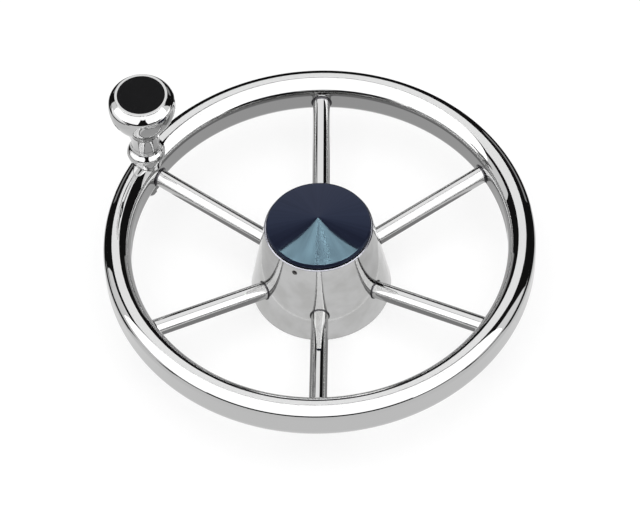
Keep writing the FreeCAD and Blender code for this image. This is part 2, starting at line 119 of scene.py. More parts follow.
lamp = bpy.data.lights.new("soft lamp", "AREA")
lamp.size = LAMP_SIZE
lamp.energy = LAMP_RADIANCE * math.pi * LAMP_SIZE ** 2
lamp_object = bpy.data.objects.new("soft lamp", lamp)
lamp_object.location = LAMP_PLACE
lamp_object.visible_glossy = False
bpy.context.scene.collection.objects.link(lamp_object)


# Floor: a large sheet of white paper. Seven tenths of its white are its own to the camera and
# in reflections, so that it stays nearly as white as the photograph's, with a faint shadow.
FLOOR_WHITE = "#F6F6F6"
FLOOR_RADIUS = 9.0
FLOOR_OWN_WHITE = 0.70
FLOOR_CORNERS = 72


def colour(hex_code):
    """Turns an sRGB hex colour into the linear colour that a shader takes."""
    parts = [int(hex_code[i:i + 2], 16) / 255 for i in (1, 3, 5)]
    return tuple(v / 12.92 if v <= 0.04045 else ((v + 0.055) / 1.055) ** 2.4 for v in parts) + (1.0,)


def new_material(name):
    """Makes an empty material and gives it back with its node tree."""
    material = bpy.data.materials.new(name)
    material.use_nodes = True
    material.node_tree.nodes.clear()
    return material, material.node_tree


def new_object(name, vertices, faces, material):
    """Makes a mesh object with smooth faces at the origin."""
    mesh = bpy.data.meshes.new(name)
    mesh.from_pydata(vertices, [], faces)
    mesh.polygons.foreach_set("use_smooth", [True] * len(mesh.polygons))
    mesh.materials.append(material)
    piece = bpy.data.objects.new(name, mesh)
    bpy.context.scene.collection.objects.link(piece)
    return piece


white_paper, tree = new_material("white paper")
share = add_node(tree, "ShaderNodeMath", {0: seen_share(tree), 1: FLOOR_OWN_WHITE}, operation="MULTIPLY")
shaded = add_node(tree, "ShaderNodeBsdfDiffuse", {"Color": colour(FLOOR_WHITE)})
own_white = add_node(tree, "ShaderNodeEmission", {"Strength": 1.0})
mixed = add_node(tree, "ShaderNodeMixShader",
                 {0: share.outputs[0], 1: shaded.outputs[0], 2: own_white.outputs[0]})
add_node(tree, "ShaderNodeOutputMaterial", {"Surface": mixed.outputs[0]})
floor_turns = [math.radians(360 * i / FLOOR_CORNERS) for i in range(FLOOR_CORNERS)]
corners = [(FLOOR_RADIUS * math.cos(a), FLOOR_RADIUS * math.sin(a), 0) for a in floor_turns]
floor = new_object("floor", corners, [list(range(len(corners)))], white_paper)


# Light tent: a dark dome with lit cloth panels, which polished steel needs to show its shape.
# Only reflections see it. Each panel is the part of the dome that its flat cuts leave, with
# places in the tent counted in its own radius.
TENT_RADIUS = 2.8
TENT_SIDES = 96
TENT_RINGS = 48
PANEL_STEP = 0.01
ROOF_EDGE = 0.29
BACK_CLOTH_FOOT = 0.42
hung = []


def glowing(name, brightness, thin=False):
    """Makes the material of a card that gives the same light all over. A thin one lets light through."""
    material, tree = new_material(name)
    glow = add_node(tree, "ShaderNodeEmission", {"Strength": brightness})
    if thin:
        clear = add_node(tree, "ShaderNodeBsdfTransparent")
        glow = add_node(tree, "ShaderNodeAddShader", {0: glow.outputs[0], 1: clear.outputs[0]})
    add_node(tree, "ShaderNodeOutputMaterial", {"Surface": glow.outputs[0]})
    return material


def only_in_reflections(card):
    """Hides a card from all but reflections."""
    card.visible_camera = card.visible_diffuse = card.visible_shadow = card.visible_transmission = False


def tent_panel(name, brightness, *cuts):
    """Hangs a panel in front of the last one and adds its light. Each cut is a direction with a
    limit, and keeps the places whose share along the direction is below the limit."""
    radius = TENT_RADIUS - len(hung) * PANEL_STEP
    panel = new_object(name, [], [], glowing(name, brightness, thin=bool(hung)))
    hung.append(panel)
    shape = bmesh.new()
    bmesh.ops.create_uvsphere(shape, u_segments=TENT_SIDES, v_segments=TENT_RINGS, radius=radius)
    for direction, limit in cuts:
        across = Vector(direction)
        whole = shape.verts[:] + shape.edges[:] + shape.faces[:]
        bmesh.ops.bisect_plane(shape, geom=whole, clear_outer=True, plane_no=across,
                               plane_co=across * (limit * radius / across.length_squared))
    shape.to_mesh(panel.data)
    shape.free()
    only_in_reflections(panel)
    return panel


def left_of(x):
    """The cut that keeps what lies left of a place across the tent."""
    return (1, 0, 0), x


def right_of(x):
    """The cut that keeps what lies right of a place across the tent."""
    return (-1, 0, 0), -x


def before(y):
    """The cut that keeps what lies before a place along the tent, towards the camera."""
    return (0, 1, 0), y


def behind(y):
    """The cut that keeps what lies behind a place along the tent."""
    return (0, -1, 0), -y


def below(z):
    """The cut that keeps what lies below a height."""
    return (0, 0, 1), z


def above(z):
    """The cut that keeps what lies above a height."""
    return (0, 0, -1), -z


pieces_with_cards = bpy.data.collections.new("pieces with cards of their own")


def give_cards(pieces, cards, cloths_too=False):
    """Lets cards show in the given pieces only. The tent's cloths are kept off them unless cloths_too."""
    group = bpy.data.collections.new(pieces[0].name + " only")
    for piece in pieces:
        group.objects.link(piece)
        if not cloths_too:
            pieces_with_cards.objects.link(piece)
    for member in pieces_with_cards.collection_objects:
        member.light_linking.link_state = "EXCLUDE"
    for card in cards:
        card.light_linking.receiver_collection = group


# The slanted cuts follow the cloths' hems, which hang at a slope
floor_edge = above(0.0005)
front_sides = (((0.54, 1, 0), 0.462), ((-0.30, 1, 0), 0.39))
back_left_hem = ((1, 0, -0.757), -0.19)
back_right_hem = ((-1, 0, -0.757), -0.03)
back_roof_hem = ((0.13, -1, 0), -0.335)
right_hems = (((0, 1.06, 1), 0.836), ((0, 8.25, 1), 2.166))
front_cloth = (before(ROOF_EDGE), *front_sides, above(0.10))

tent_panel("dark tent", 0.01, floor_edge)
tent_cloths = [
    tent_panel("front cloth", 1.40, *front_cloth),
    tent_panel("front cloth middle", 0.55, *front_cloth, left_of(0.75), right_of(-0.75)),
    tent_panel("back cloth", 1.35, back_roof_hem, above(BACK_CLOTH_FOOT), back_left_hem, back_right_hem),
]
for card in tent_cloths:
    card.light_linking.receiver_collection = pieces_with_cards
tent_panel("left cloth", 1.00, left_of(-0.745), before(0.41), floor_edge)
tent_panel("right cloth", 1.10, *right_hems, right_of(0.62), floor_edge)
tent_panel("left back wall", 0.33, below(0.25), behind(0.70), left_of(-0.42), floor_edge)
tent_panel("right back wall", 0.33, below(0.25), behind(0.70), right_of(0.42), floor_edge)


# Papers on the floor, seen only in reflections. They glow, and paint the floor's light and shade
# as the steel sees it: black all round, which is painted shadow of the wheel near it and a dark
# floor farther out, light in front of the wheel, and grey inside it, which is painted shade.
# They give the steel its dark edges and the rim's inner wall its grey.
PAPER_HEIGHT = 0.0004
PAPER_STEP = 0.00003
PAPER_POINTS = 48
FAR_EDGE = TENT_RADIUS - 0.1
laid = []


def lay_paper(name, brightness, inner, outer, start, end, thin=False):
    """Lays a sector of a ring of paper on the last one, from its inner to its outer radius and
    between two angles in degrees."""
    height = PAPER_HEIGHT + len(laid) * PAPER_STEP
    angles = [math.radians(start + (end - start) * i / PAPER_POINTS) for i in range(PAPER_POINTS + 1)]
    points = [(r * math.cos(a), r * math.sin(a), height) for a in angles for r in (inner, outer)]
    strips = [(2 * i, 2 * i + 1, 2 * i + 3, 2 * i + 2) for i in range(PAPER_POINTS)]
    paper = new_object(name, points, strips, glowing(name, brightness, thin))
    laid.append(paper)
    only_in_reflections(paper)
    return paper


# Painted shadow of the wheel near it, and a dark floor farther out
lay_paper("black shadow paper", 0.01, 0.001, TENT_RADIUS, 0, 360)
lay_paper("back paper", 0.85, 0.172, 0.262, 25, 150)
lay_paper("left paper", 0.85, 0.172, 0.282, 150, 196)
lay_paper("right paper", 0.85, 0.172, 0.300, -16, 25)
lay_paper("far left paper", 0.90, 0.46, FAR_EDGE, 164, 205)
lay_paper("far right paper", 0.95, 0.65, FAR_EDGE, -25, 12)
lay_paper("front paper", 0.88, 0.172, 0.44, 196, 344)
lay_paper("far front paper", 0.88, 0.30, 0.62, 214, 326)
# Painted shade of the floor inside the wheel
lay_paper("inner shade paper", 0.32, 0.001, 0.173, 0, 360)
lay_paper("shade behind the hub", 0.04, 0.062, 0.112, 58, 122)


# Rim: one mirror-polished stainless tube, rolled to an obround section and bent to a ring. Its
# crown leans inwards a little, as a tube's does when it is bent the hard way.
RING_RADIUS = 0.1845
RIM_WIDTH = 0.025
RIM_DEPTH = 0.0393
RIM_MIDDLE = 0.055
RIM_LEAN = 0.12
RIM_STEPS = 360
RIM_PROFILE_STEPS = 120
RIM_ROUND_STEPS = 32
RIM_FLAT_LEFT = 0.000001
RIM_SEAM = 0.000002
LEAN_SETTLE = 0.0001
POLISHED_STEEL = "#C3C3C3"
POLISH_PATCH = 0.006
POLISH_ROUGHNESS = (0.012, 0.032)
HAND_WAVE = 0.015
HAND_WAVE_DEPTH = 0.00001


def size_tree(name, *sizes):
    """Starts a Geometry Nodes tree that has the given named sizes as inputs."""
    tree = bpy.data.node_groups.new(name, "GeometryNodeTree")
    tree.interface.new_socket("Geometry", in_out="INPUT", socket_type="NodeSocketGeometry")
    tree.interface.new_socket("Geometry", in_out="OUTPUT", socket_type="NodeSocketGeometry")
    for label in sizes:
        kind = "NodeSocketInt" if label.endswith("count") else "NodeSocketFloat"
        tree.interface.new_socket(label, in_out="INPUT", socket_type=kind)
    return tree, tree.nodes.new("NodeGroupInput").outputs


def make_from_tree(piece, tree, **sizes):
    """Runs a tree on a piece with the given sizes, and leaves its result as the piece's plain mesh."""
    modifier = piece.modifiers.new(tree.name, "NODES")
    modifier.node_group = tree
    for item in tree.interface.items_tree:
        label = item.name.replace(" ", "_")
        if label in sizes:
            modifier[item.identifier] = sizes[label]
    made = piece.evaluated_get(bpy.context.evaluated_depsgraph_get())
    mesh = bpy.data.meshes.new_from_object(made)
    piece.modifiers.remove(modifier)
    piece.data = mesh
    shape = bmesh.new()
    shape.from_mesh(mesh)
    if shape.calc_volume(signed=True) < 0:
        bmesh.ops.reverse_faces(shape, faces=shape.faces)
    shape.to_mesh(mesh)
    shape.free()
    return piece


# Mirror-polished 316 stainless: a clear mirror, a little dulled in patches by the polishing
# mop, whose strokes leave a wave that only bends reflections very slightly.
polished_stainless, tree = new_material("mirror polished stainless")
place = add_node(tree, "ShaderNodeTexCoord").outputs["Object"]
patches = add_node(tree, "ShaderNodeTexNoise", {"Vector": place, "Scale": 1 / POLISH_PATCH, "Detail": 3.0})
dulling = add_node(tree, "ShaderNodeMapRange", {
    0: patches.outputs[0], 3: POLISH_ROUGHNESS[0], 4: POLISH_ROUGHNESS[1]})
waves = add_node(tree, "ShaderNodeTexNoise", {"Vector": place, "Scale": 1 / HAND_WAVE, "Detail": 1.0})
wavy = add_node(tree, "ShaderNodeBump",
                {"Height": waves.outputs[0], "Strength": 0.5, "Distance": HAND_WAVE_DEPTH})
steel = add_node(tree, "ShaderNodeBsdfPrincipled", {
    "Base Color": colour(POLISHED_STEEL), "Metallic": 1.0, "Roughness": dulling.outputs[0],
    "Normal": wavy.outputs[0]})
add_node(tree, "ShaderNodeOutputMaterial", {"Surface": steel.outputs[0]})

tree, size = size_tree("bent obround tube", "Ring radius", "Width", "Depth", "Middle", "Lean",
                       "Ring count", "Profile count")
ring = add_node(tree, "GeometryNodeCurvePrimitiveCircle",
                {"Resolution": size["Ring count"], "Radius": size["Ring radius"]})
upright = add_node(tree, "GeometryNodeSetCurveNormal", {"Curve": ring.outputs[0]}, mode="Z_UP")
outline = add_node(tree, "GeometryNodeCurvePrimitiveQuadrilateral",
                   {"Width": size["Width"], "Height": size["Depth"]})
half_width = add_node(tree, "ShaderNodeMath", {0: size["Width"], 1: 2.0}, operation="DIVIDE")
half_width = add_node(tree, "ShaderNodeMath", {0: half_width.outputs[0], 1: RIM_FLAT_LEFT},
                      operation="SUBTRACT")
rounded = add_node(tree, "GeometryNodeFilletCurve",
                   {"Curve": outline.outputs[0], "Count": RIM_ROUND_STEPS, "Radius": half_width.outputs[0]},
                   mode="POLY")
section = add_node(tree, "GeometryNodeResampleCurve",
                   {"Curve": rounded.outputs[0], "Count": size["Profile count"]})
swept = add_node(tree, "GeometryNodeCurveToMesh",
                 {"Curve": upright.outputs[0], "Profile Curve": section.outputs[0]})
lift = add_node(tree, "ShaderNodeCombineXYZ", {"Z": size["Middle"]})
raised = add_node(tree, "GeometryNodeTransform",
                  {"Geometry": swept.outputs[0], "Translation": lift.outputs[0]})
# The lean lifts the outer shoulder and lowers the inner one, above the section's middle only,
# and settles the crown a little so that it stays no higher than a level one
spot = add_node(tree, "GeometryNodeInputPosition")
flat = add_node(tree, "ShaderNodeVectorMath", {0: spot.outputs[0], 1: (1, 1, 0)}, operation="MULTIPLY")
reach = add_node(tree, "ShaderNodeVectorMath", {0: flat.outputs[0]}, operation="LENGTH")
outwards = add_node(tree, "ShaderNodeMath", {0: reach.outputs["Value"], 1: size["Ring radius"]},
                    operation="SUBTRACT")
rise = add_node(tree, "ShaderNodeMath", {0: outwards.outputs[0], 1: size["Lean"]}, operation="MULTIPLY")
rise = add_node(tree, "ShaderNodeMath", {0: rise.outputs[0], 1: LEAN_SETTLE}, operation="SUBTRACT")
height = add_node(tree, "ShaderNodeSeparateXYZ", {0: spot.outputs[0]})
past_middle = add_node(tree, "ShaderNodeMath", {0: height.outputs["Z"], 1: size["Middle"]},
                       operation="SUBTRACT")
straight = add_node(tree, "ShaderNodeMath", {0: size["Depth"], 1: size["Width"]}, operation="SUBTRACT")
straight = add_node(tree, "ShaderNodeMath", {0: straight.outputs[0], 1: 2.0}, operation="DIVIDE")
weight = add_node(tree, "ShaderNodeMapRange", {0: past_middle.outputs[0], 1: 0.0, 2: straight.outputs[0]})
rise = add_node(tree, "ShaderNodeMath", {0: rise.outputs[0], 1: weight.outputs[0]}, operation="MULTIPLY")
shift = add_node(tree, "ShaderNodeCombineXYZ", {"Z": rise.outputs[0]})
leaned = add_node(tree, "GeometryNodeSetPosition",
                  {"Geometry": raised.outputs[0], "Offset": shift.outputs[0]})
joined = add_node(tree, "GeometryNodeMergeByDistance",
                  {"Geometry": leaned.outputs[0], "Distance": RIM_SEAM})
smooth = add_node(tree, "GeometryNodeSetShadeSmooth", {"Geometry": joined.outputs[0]})
real = add_node(tree, "GeometryNodeRealizeInstances", {"Geometry": smooth.outputs[0]})
finished = add_node(tree, "GeometryNodeSetMaterial",
                    {"Geometry": real.outputs[0], "Material": polished_stainless})
add_node(tree, "NodeGroupOutput", {0: finished.outputs[0]})

rim_tube = make_from_tree(
    new_object("rim_tube", [], [], polished_stainless), tree,
    Ring_radius=RING_RADIUS, Width=RIM_WIDTH, Depth=RIM_DEPTH, Middle=RIM_MIDDLE, Lean=RIM_LEAN,
    Ring_count=RIM_STEPS, Profile_count=RIM_PROFILE_STEPS)
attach(rim_tube, "wheel")
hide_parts("rim")

# A lighter painted shade inside the wheel, which only the rim and the knob reflect
lighter_inner_shade = lay_paper("lighter inner shade paper", 0.18, 0.001, 0.173, 0, 360, thin=True)
give_cards([rim_tube, nodes["knob_shell"], nodes["knob_base"]], [lighter_inner_shade], cloths_too=True)


# Spokes: six straight tubes of polished stainless, coped at both ends to fit the rim's inner
# wall and the hub's cone.
SPOKE_RADIUS = 0.008
SPOKE_SLOPE = math.radians(10.3)
SPOKE_RIM_HEIGHT = 0.0533
SPOKE_COUNT = 6
FIRST_SPOKE = math.radians(30)
SPOKE_SIDES = 72
SPOKE_STEPS = 4
COPE_DEPTH = 0.0006
HUB_BASE_RADIUS = 0.0645
HUB_TAPER = 0.172414
STRETCH_OF_RIM = (0.0, 0.04)
STRETCH_OF_HUB = (0.06, 0.16)
HALVINGS = 30
SHARP_EDGE = math.radians(40)

spoke_start = Vector((RING_RADIUS, 0, SPOKE_RIM_HEIGHT))
spoke_run = Vector((-math.cos(SPOKE_SLOPE), 0, -math.sin(SPOKE_SLOPE)))
spoke_top = Vector((-math.sin(SPOKE_SLOPE), 0, math.cos(SPOKE_SLOPE)))


def spoke_point(along, radius, turn):
    """A point at a distance along the spoke from the rim's centre line, and round its axis."""
    return spoke_start + spoke_run * along + (
        Vector((0, 1, 0)) * math.cos(turn) + spoke_top * math.sin(turn)) * radius


def outside_rim(point):
    """How far a point is outside the rim's tube."""
    side = max(abs(point.z - RIM_MIDDLE) - (RIM_DEPTH - RIM_WIDTH) / 2, 0)
    return math.hypot(side, math.hypot(point.x, point.y) - RING_RADIUS) - RIM_WIDTH / 2


def inside_hub(point):
    """How far a point is inside the hub's cone, measured flat."""
    return HUB_BASE_RADIUS - HUB_TAPER * point.z - math.hypot(point.x, point.y)


def meeting(surface, stretch, radius, turn):
    """How far along a spoke's line it crosses a surface, by halving the stretch that holds the place."""
    near, far = stretch
    for _ in range(HALVINGS):
        middle = (near + far) / 2
        if surface(spoke_point(middle, radius, turn)) > 0:
            far = middle
        else:
            near = middle
    return near


def ring_faces(rows, sides, closed=False):
    """Faces between rows of points that each run once round."""
    last = len(rows) if closed else len(rows) - 1
    return [(r * sides + i, r * sides + (i + 1) % sides,
             (r + 1) % len(rows) * sides + (i + 1) % sides, (r + 1) % len(rows) * sides + i)
            for r in range(last) for i in range(sides)]


turns = [math.tau * i / SPOKE_SIDES for i in range(SPOKE_SIDES)]
rows = []
for i in range(SPOKE_STEPS + 1):
    rows.append([])
    for turn in turns:
        near = meeting(outside_rim, STRETCH_OF_RIM, SPOKE_RADIUS, turn) - COPE_DEPTH
        far = meeting(inside_hub, STRETCH_OF_HUB, SPOKE_RADIUS, turn) + COPE_DEPTH
        rows[-1].append(spoke_point(near + (far - near) * i / SPOKE_STEPS, SPOKE_RADIUS, turn))
vertices = [point for row in rows for point in row]
faces = ring_faces(rows, SPOKE_SIDES)
for row in (0, SPOKE_STEPS):
    vertices.append(sum(rows[row], Vector()) / SPOKE_SIDES)
    for i in range(SPOKE_SIDES):
        pair = (row * SPOKE_SIDES + (i + 1) % SPOKE_SIDES, row * SPOKE_SIDES + i)
        faces.append((*(pair if row == 0 else reversed(pair)), len(vertices) - 1))
spokes = new_object("spokes", vertices, faces, polished_stainless)
spokes.data.set_sharp_from_angle(angle=SHARP_EDGE)


def copies_round_hub(material):
    """A tree that sets copies of the piece evenly round the hub."""
    tree, size = size_tree("copies round the hub", "Spoke count", "First angle")
    places = add_node(tree, "GeometryNodePoints", {"Count": size["Spoke count"]})
    index = add_node(tree, "GeometryNodeInputIndex")
    step = add_node(tree, "ShaderNodeMath", {0: math.tau, 1: size["Spoke count"]}, operation="DIVIDE")
    angle = add_node(tree, "ShaderNodeMath",
                     {0: index.outputs[0], 1: step.outputs[0], 2: size["First angle"]},
                     operation="MULTIPLY_ADD")
    turned = add_node(tree, "ShaderNodeCombineXYZ", {"Z": angle.outputs[0]})
    copies = add_node(tree, "GeometryNodeInstanceOnPoints", {
        "Points": places.outputs[0], "Instance": size["Geometry"], "Rotation": turned.outputs[0]})
    real = add_node(tree, "GeometryNodeRealizeInstances", {"Geometry": copies.outputs[0]})
    finished = add_node(tree, "GeometryNodeSetMaterial",
                        {"Geometry": real.outputs[0], "Material": material})
    add_node(tree, "NodeGroupOutput", {0: finished.outputs[0]})
    return tree


make_from_tree(spokes, copies_round_hub(polished_stainless),
               Spoke_count=SPOKE_COUNT, First_angle=FIRST_SPOKE)
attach(spokes, "wheel")
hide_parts(*(f"spoke_{i}" for i in range(1, SPOKE_COUNT + 1)))

# The spokes' own cloths, which draw a light band along each spoke between two dark lines
give_cards([spokes], [
    tent_panel("front cloth of the spokes", 1.90, before(0.19), *front_sides, above(0.28)),
    tent_panel("back cloth of the spokes", 1.35, behind(0.25), above(0.50), back_left_hem,
               ((-1, 0, -0.757), 0.20))])


# Welds at the spokes' ends: each end is welded all round, and the bead is ground to a narrow
# hollow between the two surfaces. It is duller and darker than the polished steel beside it.
RIM_WELD_LEG = 0.0017
HUB_WELD_LEG = 0.0011
WELD_STEPS = 6
WELD_GREY = "#4C4B4E"
WELD_GRIND = 0.0010
GRIND_DEPTH = 0.00002
WELD_ROUGHNESS = (0.12, 0.26)

# Ground weld metal: dark and satin from the heat, with fine marks of the grinding belt
ground_weld, tree = new_material("ground weld stainless")
place = add_node(tree, "ShaderNodeTexCoord").outputs["Object"]
marks = add_node(tree, "ShaderNodeTexNoise", {"Vector": place, "Scale": 1 / WELD_GRIND, "Detail": 2.0})
softness = add_node(tree, "ShaderNodeMapRange", {
    0: marks.outputs[0], 3: WELD_ROUGHNESS[0], 4: WELD_ROUGHNESS[1]})
marked = add_node(tree, "ShaderNodeBump",
                  {"Height": marks.outputs[0], "Strength": 0.3, "Distance": GRIND_DEPTH})
steel = add_node(tree, "ShaderNodeBsdfPrincipled", {
    "Base Color": colour(WELD_GREY), "Metallic": 1.0, "Roughness": softness.outputs[0],
    "Normal": marked.outputs[0]})
add_node(tree, "ShaderNodeOutputMaterial", {"Surface": steel.outputs[0]})

vertices, faces = [], []
for surface, stretch, leg, way in ((outside_rim, STRETCH_OF_RIM, RIM_WELD_LEG, 1),
                                   (inside_hub, STRETCH_OF_HUB, HUB_WELD_LEG, -1)):
    rows = [[] for _ in range(WELD_STEPS + 2)]
    for turn in turns:
        corner = meeting(surface, stretch, SPOKE_RADIUS, turn)
        host = spoke_point(meeting(surface, stretch, SPOKE_RADIUS + leg, turn), SPOKE_RADIUS + leg, turn)
        tube = spoke_point(corner + way * leg, SPOKE_RADIUS, turn)
        rows[-1].append(spoke_point(corner - way * COPE_DEPTH, SPOKE_RADIUS - COPE_DEPTH, turn))
        corner = spoke_point(corner, SPOKE_RADIUS, turn)
        for i in range(WELD_STEPS + 1):
            share = i / WELD_STEPS
            rows[i].append(host * (1 - share) ** 2 + corner * 2 * share * (1 - share) + tube * share ** 2)
    first = len(vertices)
    vertices += [point for row in rows for point in row]
    weld_faces = ring_faces(rows, SPOKE_SIDES, closed=True)
    faces += [tuple(first + i for i in (face if way > 0 else reversed(face))) for face in weld_faces]
welds = new_object("spoke_welds", vertices, faces, ground_weld)
welds.data.set_sharp_from_angle(angle=SHARP_EDGE)
make_from_tree(welds, copies_round_hub(ground_weld), Spoke_count=SPOKE_COUNT, First_angle=FIRST_SPOKE)
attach(welds, "wheel")
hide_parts("rim_weld_beads", "hub_weld_beads")


# Hub shell: a cone of stainless sheet, spun over a former and polished on the lathe. Its polish
# is softer than the rim's, with fine rings, and cloudy in patches all over.
HUB_STEEL = "#C6C6C6"
HUB_CLOUDED = "#BABAB9"
# The top lip's bluish grey is painted shade under the cap's edge, tinted by the blue cap above it
PAINTED_LIP_SHADE = "#A0A0A8"
HUB_SHADED_LIP_HEIGHTS = (0.0858, 0.0864)
HUB_CLOUD = 0.020
SPUN_RING = 0.0012
SPUN_DEPTH = 0.000002
HUB_ROUGHNESS = (0.12, 0.06)
WAVE_PERIOD = 0.314


def dress(material, *names):
    """Gives a CAD node its finish."""
    for name in names:
        for slot in nodes[name].material_slots:
            slot.material = material


# The rings are 0.1 mm apart on the real shell, and are drawn 1.2 mm apart so that they show
spun_stainless, tree = new_material("spun and soft polished stainless")
place = add_node(tree, "ShaderNodeTexCoord").outputs["Object"]
clouds = add_node(tree, "ShaderNodeTexNoise", {"Vector": place, "Scale": 1 / HUB_CLOUD, "Detail": 2.0})
shade = add_node(tree, "ShaderNodeMapRange", {0: clouds.outputs[0], 1: 0.35, 2: 0.65})
tone = add_node(tree, "ShaderNodeMix", {0: shade.outputs[0], 6: colour(HUB_CLOUDED), 7: colour(HUB_STEEL)},
                data_type="RGBA")
height = add_node(tree, "ShaderNodeSeparateXYZ", {0: place})
# The top lip is painted a bluish grey: painted shade under the cap's edge, and a painted reflection of the
# blue cap
lip_shade = add_node(tree, "ShaderNodeMapRange", {0: height.outputs["Z"], 1: HUB_SHADED_LIP_HEIGHTS[0], 2: HUB_SHADED_LIP_HEIGHTS[1]})
tone = add_node(tree, "ShaderNodeMix", {0: lip_shade.outputs[0], 6: tone.outputs[2], 7: colour(PAINTED_LIP_SHADE)},
                data_type="RGBA")
rings = add_node(tree, "ShaderNodeTexWave",
                 {"Vector": place, "Scale": WAVE_PERIOD / SPUN_RING, "Distortion": 1.0},
                 wave_type="BANDS", bands_direction="Z")
softness = add_node(tree, "ShaderNodeMapRange", {
    0: clouds.outputs[0], 3: HUB_ROUGHNESS[0], 4: HUB_ROUGHNESS[1]})
spun = add_node(tree, "ShaderNodeBump",
                {"Height": rings.outputs[1], "Strength": 0.3, "Distance": SPUN_DEPTH})
steel = add_node(tree, "ShaderNodeBsdfPrincipled", {
    "Base Color": tone.outputs[2], "Metallic": 1.0, "Roughness": softness.outputs[0],
    "Normal": spun.outputs[0]})
add_node(tree, "ShaderNodeOutputMaterial", {"Surface": steel.outputs[0]})
dress(spun_stainless, "hub_shell")

# Light paper on the floor round the hub, which only the hub reflects. It glows: painted light on the floor
# that the hub sees
give_cards([nodes["hub_shell"]], [
    lay_paper("paper under the hub", 0.55, 0.001, 0.095, 0, 360, thin=True),
    lay_paper("paper beside the hub", 0.42, 0.094, 0.173, 130, 410, thin=True),
    lay_paper("paper before the hub", 0.14, 0.094, 0.173, 200, 340, thin=True)], cloths_too=True)


# Hub web, core and seat ring, inside the shell: a plate pressed from mill-finish sheet, and two
# pieces turned from stainless bar. The beads that join them are brushed after welding.
MILL_STEEL = "#B4B4B2"
TURNED_STEEL = "#BDBDBB"
WELDED_STEEL = "#A9A6A1"
MILL_GRAIN = 0.0008
MILL_GRAIN_DEPTH = 0.00001
MILL_ROUGHNESS = (0.28, 0.42)
TURNED_LINE = 0.0009
TURNED_DEPTH = 0.00001
TURNED_ROUGHNESS = (0.12, 0.22)
WELD_RIPPLE = 0.0012
RIPPLE_DEPTH = 0.00008
BRUSHED_ROUGHNESS = (0.25, 0.45)

# Mill finish on rolled sheet: grey and soft, with a fine even grain
mill_stainless, tree = new_material("pressed mill finish stainless")
place = add_node(tree, "ShaderNodeTexCoord").outputs["Object"]
grain = add_node(tree, "ShaderNodeTexNoise", {"Vector": place, "Scale": 1 / MILL_GRAIN, "Detail": 2.0})
softness = add_node(tree, "ShaderNodeMapRange", {
    0: grain.outputs[0], 3: MILL_ROUGHNESS[0], 4: MILL_ROUGHNESS[1]})
rough = add_node(tree, "ShaderNodeBump",
                 {"Height": grain.outputs[0], "Strength": 0.2, "Distance": MILL_GRAIN_DEPTH})
steel = add_node(tree, "ShaderNodeBsdfPrincipled", {
    "Base Color": colour(MILL_STEEL), "Metallic": 1.0, "Roughness": softness.outputs[0],
    "Normal": rough.outputs[0]})
add_node(tree, "ShaderNodeOutputMaterial", {"Surface": steel.outputs[0]})
dress(mill_stainless, "hub_web")


def turned_metal(name, hex_code, line, roughness, centre=(0, 0, 0)):
    """A metal turned on the lathe: rings round its axis, drawn coarse enough to show."""
    smooth_lines, dull_lines = roughness
    material, tree = new_material(name)
    place = add_node(tree, "ShaderNodeTexCoord").outputs["Object"]
    centred = add_node(tree, "ShaderNodeMapping", {"Vector": place, "Location": tuple(-c for c in centre)})
    lines = {"Vector": centred.outputs[0], "Scale": WAVE_PERIOD / line}
    across = add_node(tree, "ShaderNodeTexWave", lines, wave_type="RINGS", rings_direction="Z")
    along = add_node(tree, "ShaderNodeTexWave", lines, wave_type="BANDS", bands_direction="Z")
    both = add_node(tree, "ShaderNodeMath", {0: across.outputs[1], 1: along.outputs[1]},
                    operation="MULTIPLY")
    softness = add_node(tree, "ShaderNodeMapRange", {0: both.outputs[0], 3: smooth_lines, 4: dull_lines})
    grooves = add_node(tree, "ShaderNodeBump",
                       {"Height": both.outputs[0], "Strength": 0.3, "Distance": TURNED_DEPTH})
    metal = add_node(tree, "ShaderNodeBsdfPrincipled", {
        "Base Color": colour(hex_code), "Metallic": 1.0, "Roughness": softness.outputs[0],
        "Normal": grooves.outputs[0]})
    add_node(tree, "ShaderNodeOutputMaterial", {"Surface": metal.outputs[0]})
    return material


dress(turned_metal("turned stainless", TURNED_STEEL, TURNED_LINE, TURNED_ROUGHNESS),
      "hub_core", "cap_seat_ring")

# Brushed weld metal: a little yellower than the sheet, with the ripples of the weld under
# the marks of a wire brush
weld_stainless, tree = new_material("brushed weld stainless")
place = add_node(tree, "ShaderNodeTexCoord").outputs["Object"]
ripples = add_node(tree, "ShaderNodeTexNoise", {"Vector": place, "Scale": 1 / WELD_RIPPLE, "Detail": 3.0})
softness = add_node(tree, "ShaderNodeMapRange", {
    0: ripples.outputs[0], 3: BRUSHED_ROUGHNESS[0], 4: BRUSHED_ROUGHNESS[1]})
rippled = add_node(tree, "ShaderNodeBump",
                   {"Height": ripples.outputs[0], "Strength": 0.5, "Distance": RIPPLE_DEPTH})
steel = add_node(tree, "ShaderNodeBsdfPrincipled", {
    "Base Color": colour(WELDED_STEEL), "Metallic": 1.0, "Roughness": softness.outputs[0],
    "Normal": rippled.outputs[0]})
add_node(tree, "ShaderNodeOutputMaterial", {"Surface": steel.outputs[0]})
dress(weld_stainless, "core_weld_bead", "web_weld_bead")


# Grub screw: a small socket screw of turned stainless, sunk in the hub below the cap to hold it.
# Its colour is painted dark, as painted shade of its recess.
SCREW_PAINTED_SHADE = "#4A4948"
SCREW_LINE = 0.0005
SCREW_ROUGHNESS = (0.18, 0.30)
dress(turned_metal("grub screw stainless in painted shade", SCREW_PAINTED_SHADE, SCREW_LINE, SCREW_ROUGHNESS), "cap_grub_screw")


